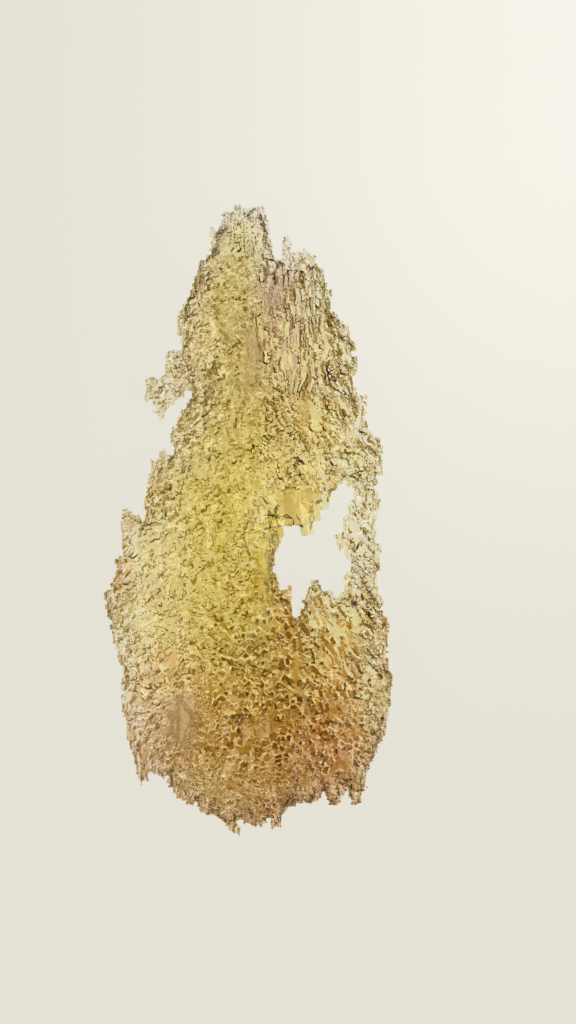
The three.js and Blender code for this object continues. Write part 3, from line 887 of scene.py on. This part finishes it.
    def scatter_seeds(self) -> tuple[Array, Array, Array]:
        """Lays out a seed for each cell: those of each style's lattice that are where it etches.

        Returns:
            The seeds' places, their styles' numbers and their facets' keys.
        """
        reach = max(max(abs(x), abs(y)) for x, y in RIM) + self.margin
        places, numbers, keys = [], [], []
        for number, etch in enumerate(Etch):
            x, y, key = etch.value.lattice(number, reach)
            near = (np.abs(x) < reach / 2) & (np.abs(y) < reach)  # the blade is half as wide as long
            x, y, key = x[near], y[near], key[near]
            here = (self.style_at(x, y) == number) & (self.depth_inside(x, y) > -self.margin)
            places.append(np.c_[x, y][here])
            numbers.append(np.full(int(here.sum()), number))
            keys.append(key[here])
        return np.concatenate(places), np.concatenate(numbers), np.concatenate(keys)

    def joined_to_heart(self, seeds: Array, inside: Array, links: Array) -> Array:
        """Finds the seeds inside the rim that hang together with the heart, by growing out from it.

        Args:
            seeds: the seeds' places.
            inside: which of them are inside the rim.
            links: pairs of neighbouring seeds.

        Returns:
            Which seeds they are.
        """
        joined = np.zeros_like(inside)
        away = np.hypot(*(seeds - np.array(self.heart)).T)
        joined[np.argmin(np.where(inside, away, np.inf))] = True
        count = 0
        while joined.sum() > count:
            count = joined.sum()
            reached = joined[links[:, 0]] | joined[links[:, 1]]
            joined[links[reached].ravel()] = True
            joined &= inside
        return joined

    def plan_facets(self, seeds: Array, number: Array, key: Array) -> FacetPlan:
        """The lie of each facet and what it holds back, by its style and by chance; pits sink and are
        painted dark.

        Args:
            seeds: the facets' seeds.
            number: their styles' numbers.
            key: a number for each facet.

        Returns:
            The plan.
        """
        tilt = pick("tilt", number) * (2 * np.c_[Lot.TILT_ACROSS.drawn(key), Lot.TILT_ALONG.drawn(key)] - 1)
        turn = np.radians(pick("turn", number))
        c, s = np.cos(turn), np.sin(turn)
        slope = np.c_[tilt[:, 0] * c - tilt[:, 1] * s, tilt[:, 0] * s + tilt[:, 1] * c]
        # pits: facets that sink and are painted dark, as shade in a hollow
        painted_dark = Lot.DARK.drawn(key) < pick("pits", number)
        lift = pick("lift", number) * np.where(painted_dark, self.dark_lift, 2 * Lot.LIFT.drawn(key) - 1)
        held = Lot.HELD.within(np.where(painted_dark[:, None], pick("painted_pit_shade", number), pick("facet", number)), key)
        gap = Lot.GAP.within(pick("gap", number), key)
        return FacetPlan(seeds, slope, lift, gap, held, number, key)

    def build(self) -> bpy.types.Object:
        """The crystal as one closed mesh of facets and seams, each with its tint, which holds painted light
        and shade.

        Every cell inside the rim has a facet on the front. The seams are strips between neighbours
        and triangles where three cells meet. The back is the same, but a cell away from the rim is
        drawn together there to one point, which leaves the triangles between the seeds. Walls join
        front and back all along the rim.

        Returns:
            The object, in metres.
        """
        seeds, number, key = self.scatter_seeds()
        tiling = Tiling.of_seeds(seeds)
        one, other = tiling.pairs()
        cell = tiling.triangles.ravel()
        links = np.c_[cell[one], cell[end_of(one)]]
        kept = self.joined_to_heart(seeds, self.depth_inside(*seeds.T) > 0, links)
        plan = self.plan_facets(seeds, number, key)
        corners = tiling.facet_corners(plan.gap)
        front, back, fine = self.surfaces(plan, tiling.triangles, corners)
        faces, held = self.skin(tiling, kept, plan, one, other)
        _, middle, _ = self.surfaces(plan, np.arange(len(seeds)), seeds)
        vertices = np.concatenate([
            np.dstack([corners, front]).reshape(-1, 3),
            np.dstack([corners, back]).reshape(-1, 3),
            np.c_[seeds, middle],
        ])
        etched = held > UNTINTED
        seen = faces[etched]
        relief = np.dstack([corners, fine]).reshape(-1, 3)[seen]
        # the crystal's own colour together with painted highlights and painted shade
        tint_and_painted_light = np.ones((len(faces), 3))
        tint_and_painted_light[etched] = self.tint_and_painted_light(relief, (front - back).ravel()[seen].mean(axis=1), held[etched])
        used, renumbered = np.unique(faces, return_inverse=True)
        piece = meshed("etched_crystal", vertices[used] * MM, renumbered.reshape(-1, 3))
        coloured(piece, "tint_and_painted_light", "FACE", tint_and_painted_light)
        return piece

    def towards_light(self, places: Array) -> Array:
        """The way to the made-up light whose light and shade are painted into the etching's tint.

        It goes towards the foot, and aside by noise and towards the blade's middle line, the more
        the farther out. Over the columns it goes to the left.

        Args:
            places: the places.

        Returns:
            A row of length 1 for each.
        """
        x, y = places.T
        columns, leftwards = self.from_left
        aside = -np.clip(x / self.aslant, -1, 1) + self.light_waves.at(x, y)
        way = np.c_[aside - leftwards * columns.at(x, y), -np.ones(len(x))]
        return way / np.hypot(*way.T)[:, None]

    def painted_light_steps(self, corners: Array) -> Array:
        """Painted light and shade: how many steps less faces of the front hold back for facing the light,
        and more for facing away.

        The slope towards the light is the normal's part along the light's way over its upright part.

        Args:
            corners: the faces' three corners on the fine relief alone.

        Returns:
            The steps.
        """
        normal = np.cross(corners[:, 1] - corners[:, 0], corners[:, 2] - corners[:, 0])
        towards = (normal[:, :2] * self.towards_light(corners[..., :2].mean(axis=1))).sum(axis=1)
        slope = towards / np.maximum(normal[:, 2], 1e-9)
        return self.relief * np.clip(slope, -self.steepest, self.steepest)

    def tint_and_painted_light(self, corners: Array, thickness: Array, held: Array) -> Array:
        """The share of red, green and blue light that faces of the front let through.

        It is exp(-h) on each way through a face, so exp(-2 h) as a colour. There h is the zone's hue
        times the steps held back by the facet or seam, which hold painted highlights on ridges and painted
        shade in crevices and pits, less by painted shading for facing the light and less at the rim, plus
        what the veils and the rim hold back and the body's hue times the thickness.

        Args:
            corners: the faces' three corners on the fine relief alone.
            thickness: the crystal's thickness there.
            held: the steps that each facet or seam holds back.

        Returns:
            The tints, three a row.
        """
        x, y = corners[..., :2].mean(axis=1).T
        # painted light and shade: faces that slope towards the light lighter, those that slope away darker
        held = held - self.painted_light_steps(corners)
        inner = smooth(0.0, self.rim_reach, self.depth_inside(x, y))
        calm = self.calm(x, y) * inner
        steps = held * (1 - self.calm_evenness * calm) + self.calm_held * calm + self.cloud_waves.at(x, y)
        through = (steps * (self.rim_steps[0] + self.rim_steps[1] * inner))[:, None] * self.hue_at(x, y)
        for patch, veil in self.veils:
            through += patch.at(x, y)[:, None] * np.array(veil)
        through += (1 - inner)[:, None] * np.array(self.rim_hue)
        through = np.maximum(through, 0) + thickness[:, None] * np.array(self.body_hue)
        return np.exp(-2 * through)

    def surfaces(self, plan: FacetPlan, facet: Array, places: Array) -> tuple[Array, Array, Array]:
        """The front's and the back's heights at places on the facets, and the fine relief alone.

        Both are the hills plus the facets' own relief, which fades out at the rim, over the prisms
        and where the etching is smooth. The back is cut off at 0, where the crystal rests.

        Args:
            plan: how the facets lie.
            facet: the facet that each place is on.
            places: the places.

        Returns:
            The heights.
        """
        x, y = places[..., 0], places[..., 1]
        depth = np.maximum(self.depth_inside(x, y), 0)
        front, back = self.faces(x, y, depth)
        flat = np.maximum(self.prism_relief(x, y)[0], self.calm(x, y))
        fine = plan.height(facet, places) * (1 - self.calm_flatness * flat)
        shown = fine * (1 - np.exp(-depth / self.facets_fall))
        back = np.maximum(back - self.mirrored * shown, 0)
        return np.maximum(front + shown, back + 2 * self.least_half), back, fine

    def seams(self, cell: Array, plan: FacetPlan, one: Array, other: Array) -> tuple[Array, Array, Array]:
        """What the seams between cells hold back, and the places where three cells meet.

        A seam is a ridge with a painted highlight or a crevice with painted shade, by chance, and always a
        ridge on the side of a deep facet towards the light. Where it is embossed, painted shading makes its
        side towards the light bright on a ridge and dark in a crevice, and its other side the reverse.
        Where cells share a facet, or the seam is plain, it holds back what the facets do.

        Args:
            cell: the cell at each corner of the seeds' triangles.
            plan: how the facets lie.
            one: the triangles' sides that have a partner.
            other: their partners.

        Returns:
            For each pair of sides what the seam holds back beside the first cell and beside the
            second; and for each triangle the middle one of its three seams' means.
        """
        near, far = cell[one], cell[end_of(one)]
        beside = plan.seed[far] - plan.seed[near]
        style = plan.style[near]
        turn = np.radians(pick("turn", style))
        run = np.abs(beside[:, 0] * np.cos(turn) + beside[:, 1] * np.sin(turn)) / np.hypot(*beside.T)
        from_light = (beside * self.towards_light(plan.seed[near])).sum(axis=1) > 0
        owner = np.where(from_light, near, far)
        key = plan.key[owner]
        # painted highlights on ridges, painted shade in crevices, and on embossed seams a painted lit side
        # and a painted shaded side
        painted_ridge_light = (Lot.RIDGE.drawn(key) < pick("ridges", style)) | (plan.held[owner] > self.deep)
        painted_highlight = Lot.BRIGHT_SIDE.within(pick("painted_ridge_light", style), key)
        painted_dark = Lot.DARK_SIDE.within(pick("painted_crevice_shade", style), key)
        painted_emboss = Lot.EMBOSSED.drawn(key) < pick("painted_emboss", style)
        near_held = np.where(np.where(painted_emboss, painted_ridge_light != from_light, painted_ridge_light), painted_highlight, painted_dark)
        far_held = np.where(np.where(painted_emboss, painted_ridge_light == from_light, painted_ridge_light), painted_highlight, painted_dark)
        plain = pick("plain", style) + np.where(run < self.least_run, pick("joined", style), 0)
        hidden = (Lot.HIDDEN.drawn(key) < plain) | (plan.key[near] == plan.key[far])
        near_held = np.where(hidden, plan.held[near], near_held)
        far_held = np.where(hidden, plan.held[far], far_held)
        mean = np.zeros(cell.size)
        mean[one] = mean[other] = (near_held + far_held) / 2
        return near_held, far_held, np.median(mean.reshape(-1, 3), axis=1)

    def skin(
        self, tiling: Tiling, kept: Array, plan: FacetPlan, one: Array, other: Array
    ) -> tuple[Array, Array]:
        """The triangles of the closed mesh.

        The vertices are the front's at each cell corner 3 t + k, then the back's there, and then
        the back's at each cell's seed.

        Args:
            tiling: the cells.
            kept: which cells are part of the crystal.
            plan: how the facets lie.
            one: the triangles' sides that have a partner.
            other: their partners, the same sides run backwards.

        Returns:
            The triangles' vertex numbers, three a row, and what each holds back; UNTINTED on the
            back and on the walls.
        """
        count = tiling.triangles.size
        cell = tiling.triangles.ravel()
        inside = kept[tiling.triangles]
        whole = np.flatnonzero(inside.all(axis=1))
        near_held, far_held, meeting_held = self.seams(cell, plan, one, other)
        # a strip along each seam, between its two corners beside one cell and beside the other
        both = kept[cell[one]] & kept[cell[end_of(one)]]
        a1, b1 = one[both], end_of(one[both])
        b2, a2 = other[both], end_of(other[both])
        fan, owner = tiling.fans()
        fan, owner = fan[kept[owner]], owner[kept[owner]]
        front = np.concatenate([
            np.c_[3 * whole, 3 * whole + 1, 3 * whole + 2],
            np.c_[a2, b1, a1],
            np.c_[a2, b2, b1],
            fan,
        ])
        held = np.concatenate([meeting_held[whole], near_held[both], far_held[both], plan.held[owner]])
        # the skin's edge: across each seam that leaves the crystal, and along its outer cells
        walls = []
        for side, partner in ((one, other), (other, one)):
            edge = kept[cell[side]] & ~kept[cell[end_of(side)]]
            walls.append(np.c_[side[edge], end_of(partner[edge])])
        for k in range(3):
            edge = inside[:, k] & inside[:, (k + 1) % 3] & ~inside[:, (k + 2) % 3]
            t = np.flatnonzero(edge)
            walls.append(np.c_[3 * t + k, 3 * t + (k + 1) % 3])
        p, q = np.concatenate(walls).T
        # on the back, cells at the rim keep their corners and the others have their seed alone
        at_rim = np.zeros(len(tiling.seeds), bool)
        at_rim[tiling.triangles[~inside.all(axis=1)].ravel()] = True
        drawn = np.where(at_rim[cell], count + np.arange(count), 2 * count + cell)
        rest = np.concatenate([drawn[front[:, ::-1]], np.c_[p, q, drawn[q]], np.c_[p, drawn[q], drawn[p]]])
        a, b, c = rest.T
        rest = rest[(a != b) & (b != c) & (c != a)]
        return np.concatenate([front, rest]), np.concatenate([held, np.full(len(rest), UNTINTED)])


@dataclass(frozen=True)
class ClearBarite:
    """The finish of the crystal: clear, yellow right through, with a glassy etched skin whose tint
    changes from facet to facet and holds painted light and shade."""

    refraction: float = 1.636
    absorption: Colour = (0.973, 0.836, 0.0)
    density: float = 40.0  # for each metre
    roughness: float = 0.04

    def material(self) -> bpy.types.Material:
        """Makes a Principled glass, tinted by the mesh's own tint with painted light and shade in it, and a
        plain absorption inside.

        Returns:
            The material.
        """
        material = bpy.data.materials.new("clear_barite")
        material.use_nodes = True
        nodes, links = material.node_tree.nodes, material.node_tree.links
        nodes.clear()
        output = nodes.new("ShaderNodeOutputMaterial")
        glass = nodes.new("ShaderNodeBsdfPrincipled")
        glass.inputs["Roughness"].default_value = self.roughness
        glass.inputs["IOR"].default_value = self.refraction
        glass.inputs["Transmission Weight"].default_value = 1.0
        links.new(glass.outputs[0], output.inputs["Surface"])
        reads_colours(material, "tint_and_painted_light", glass.inputs["Base Color"])
        inner = nodes.new("ShaderNodeVolumeAbsorption")
        inner.inputs["Color"].default_value = (*self.absorption, 1)
        inner.inputs["Density"].default_value = self.density
        links.new(inner.outputs[0], output.inputs["Volume"])
        return material


@dataclass(frozen=True)
class PaleFloor:
    """The finish of the floor: matt, with a pale glow of its own, as a light table has."""

    albedo: float = 0.04
    roughness: float = 0.9
    glow: float = 0.945

    def material(self) -> bpy.types.Material:
        """Makes a matt material that glows in the mesh's own colours.

        Returns:
            The material.
        """
        material = bpy.data.materials.new("pale_floor")
        material.use_nodes = True
        shader = material.node_tree.nodes["Principled BSDF"]
        shader.inputs["Base Color"].default_value = (self.albedo,) * 3 + (1,)
        shader.inputs["Roughness"].default_value = self.roughness
        shader.inputs["Emission Strength"].default_value = self.glow
        reads_colours(material, "glow", shader.inputs["Emission Color"])
        return material


@dataclass
class Studio:
    """The pale floor, the soft light and the camera straight above. Lengths are in metres."""

    floor_reach: float = 3.0
    floor_level: float = -0.0001
    near_reach: float = 0.1  # how far from the middle the glow changes
    near_lines: int = 41
    near_colour: Colour = (0.80, 0.776, 0.695)
    far_colour: Colour = (0.94, 0.915, 0.845)
    turns_across: Span = (-0.04, 0.05)  # where the near colour goes over into the far one
    turns_along: Span = (-0.04, 0.06)
    world_colour: Colour = (1.0, 0.8, 0.5)
    world_strength: float = 0.12
    lamp_place: tuple[float, float, float] = (0.52, -0.15, 0.3)  # the right one's
    lamp_power: float = 2.0
    lamp_size: float = 0.5
    lamp_colour: Colour = (1.0, 0.87, 0.52)
    camera_height: float = 0.6

    def build(self) -> None:
        """Makes the floor, the world, the lights and the camera."""
        self.floor()
        self.world()
        self.lights()
        self.camera()

    def floor(self) -> None:
        """A wide pale floor whose glow goes from the near colour to the far one, at the upper right.

        The far colour's share is a smooth step in x times one in y.
        """
        near = np.linspace(-self.near_reach, self.near_reach, self.near_lines)
        lines = np.r_[-self.floor_reach, near, self.floor_reach]
        x, y = (a.ravel() for a in np.meshgrid(lines, lines))
        corner = (np.arange(len(lines) - 1)[:, None] * len(lines) + np.arange(len(lines) - 1)).ravel()
        faces = np.c_[corner, corner + 1, corner + 1 + len(lines), corner + len(lines)]
        floor = meshed("floor", np.c_[x, y, np.full(len(x), self.floor_level)], faces)
        share = (smooth(*self.turns_across, x) * smooth(*self.turns_along, y))[:, None]
        glow = np.array(self.near_colour) * (1 - share) + np.array(self.far_colour) * share
        coloured(floor, "glow", "POINT", glow)
        floor.data.materials.append(PaleFloor().material())

    def world(self) -> None:
        """Dim, even, warm light from all round."""
        world = bpy.data.worlds.new("studio")
        bpy.context.scene.world = world
        world.use_nodes = True
        ground = world.node_tree.nodes["Background"]
        ground.inputs["Color"].default_value = (*self.world_colour, 1)
        ground.inputs["Strength"].default_value = self.world_strength

    def lights(self) -> None:
        """Two soft lamps at the sides, which glint on the etching that faces them.

        They light surfaces alone, and not what is seen through the crystal.
        """
        x, y, z = self.lamp_place
        for name, place in (("left", (-x, y, z)), ("right", (x, y, z))):
            lamp = bpy.data.lights.new(name, "AREA")
            lamp.energy, lamp.size, lamp.color = self.lamp_power, self.lamp_size, self.lamp_colour
            holder = placed(name, lamp)
            holder.location = place
            holder.rotation_mode = "QUATERNION"
            holder.rotation_quaternion = Vector(place).to_track_quat("Z", "Y")
            holder.visible_transmission = False

    def camera(self) -> None:
        """A camera straight above, framed as the picture is, whose colours are shown as they are."""
        data = bpy.data.cameras.new("camera")
        data.lens = data.sensor_width * self.camera_height / (IMAGE_SIZE[1] * MM_PER_PIXEL * MM)
        camera = placed("camera", data)
        x = (IMAGE_SIZE[0] / 2 - BLADE_MIDDLE_PIXEL[0]) * MM_PER_PIXEL * MM
        y = (BLADE_MIDDLE_PIXEL[1] - IMAGE_SIZE[1] / 2) * MM_PER_PIXEL * MM
        camera.location = (x, y, self.camera_height)
        bpy.context.scene.camera = camera
        bpy.context.scene.view_settings.view_transform = "Standard"


def main() -> None:
    """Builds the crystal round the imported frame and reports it."""
    logging.basicConfig(level=logging.INFO, format="%(name)s: %(message)s")
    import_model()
    Studio().build()
    crystal = EtchedBlade().build()
    crystal.data.materials.append(ClearBarite().material())
    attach(crystal, "root")
    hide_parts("crystal")
    log.info("%s: %d triangles", crystal.name, len(crystal.data.polygons))


if __name__ == "__main__":
    main()
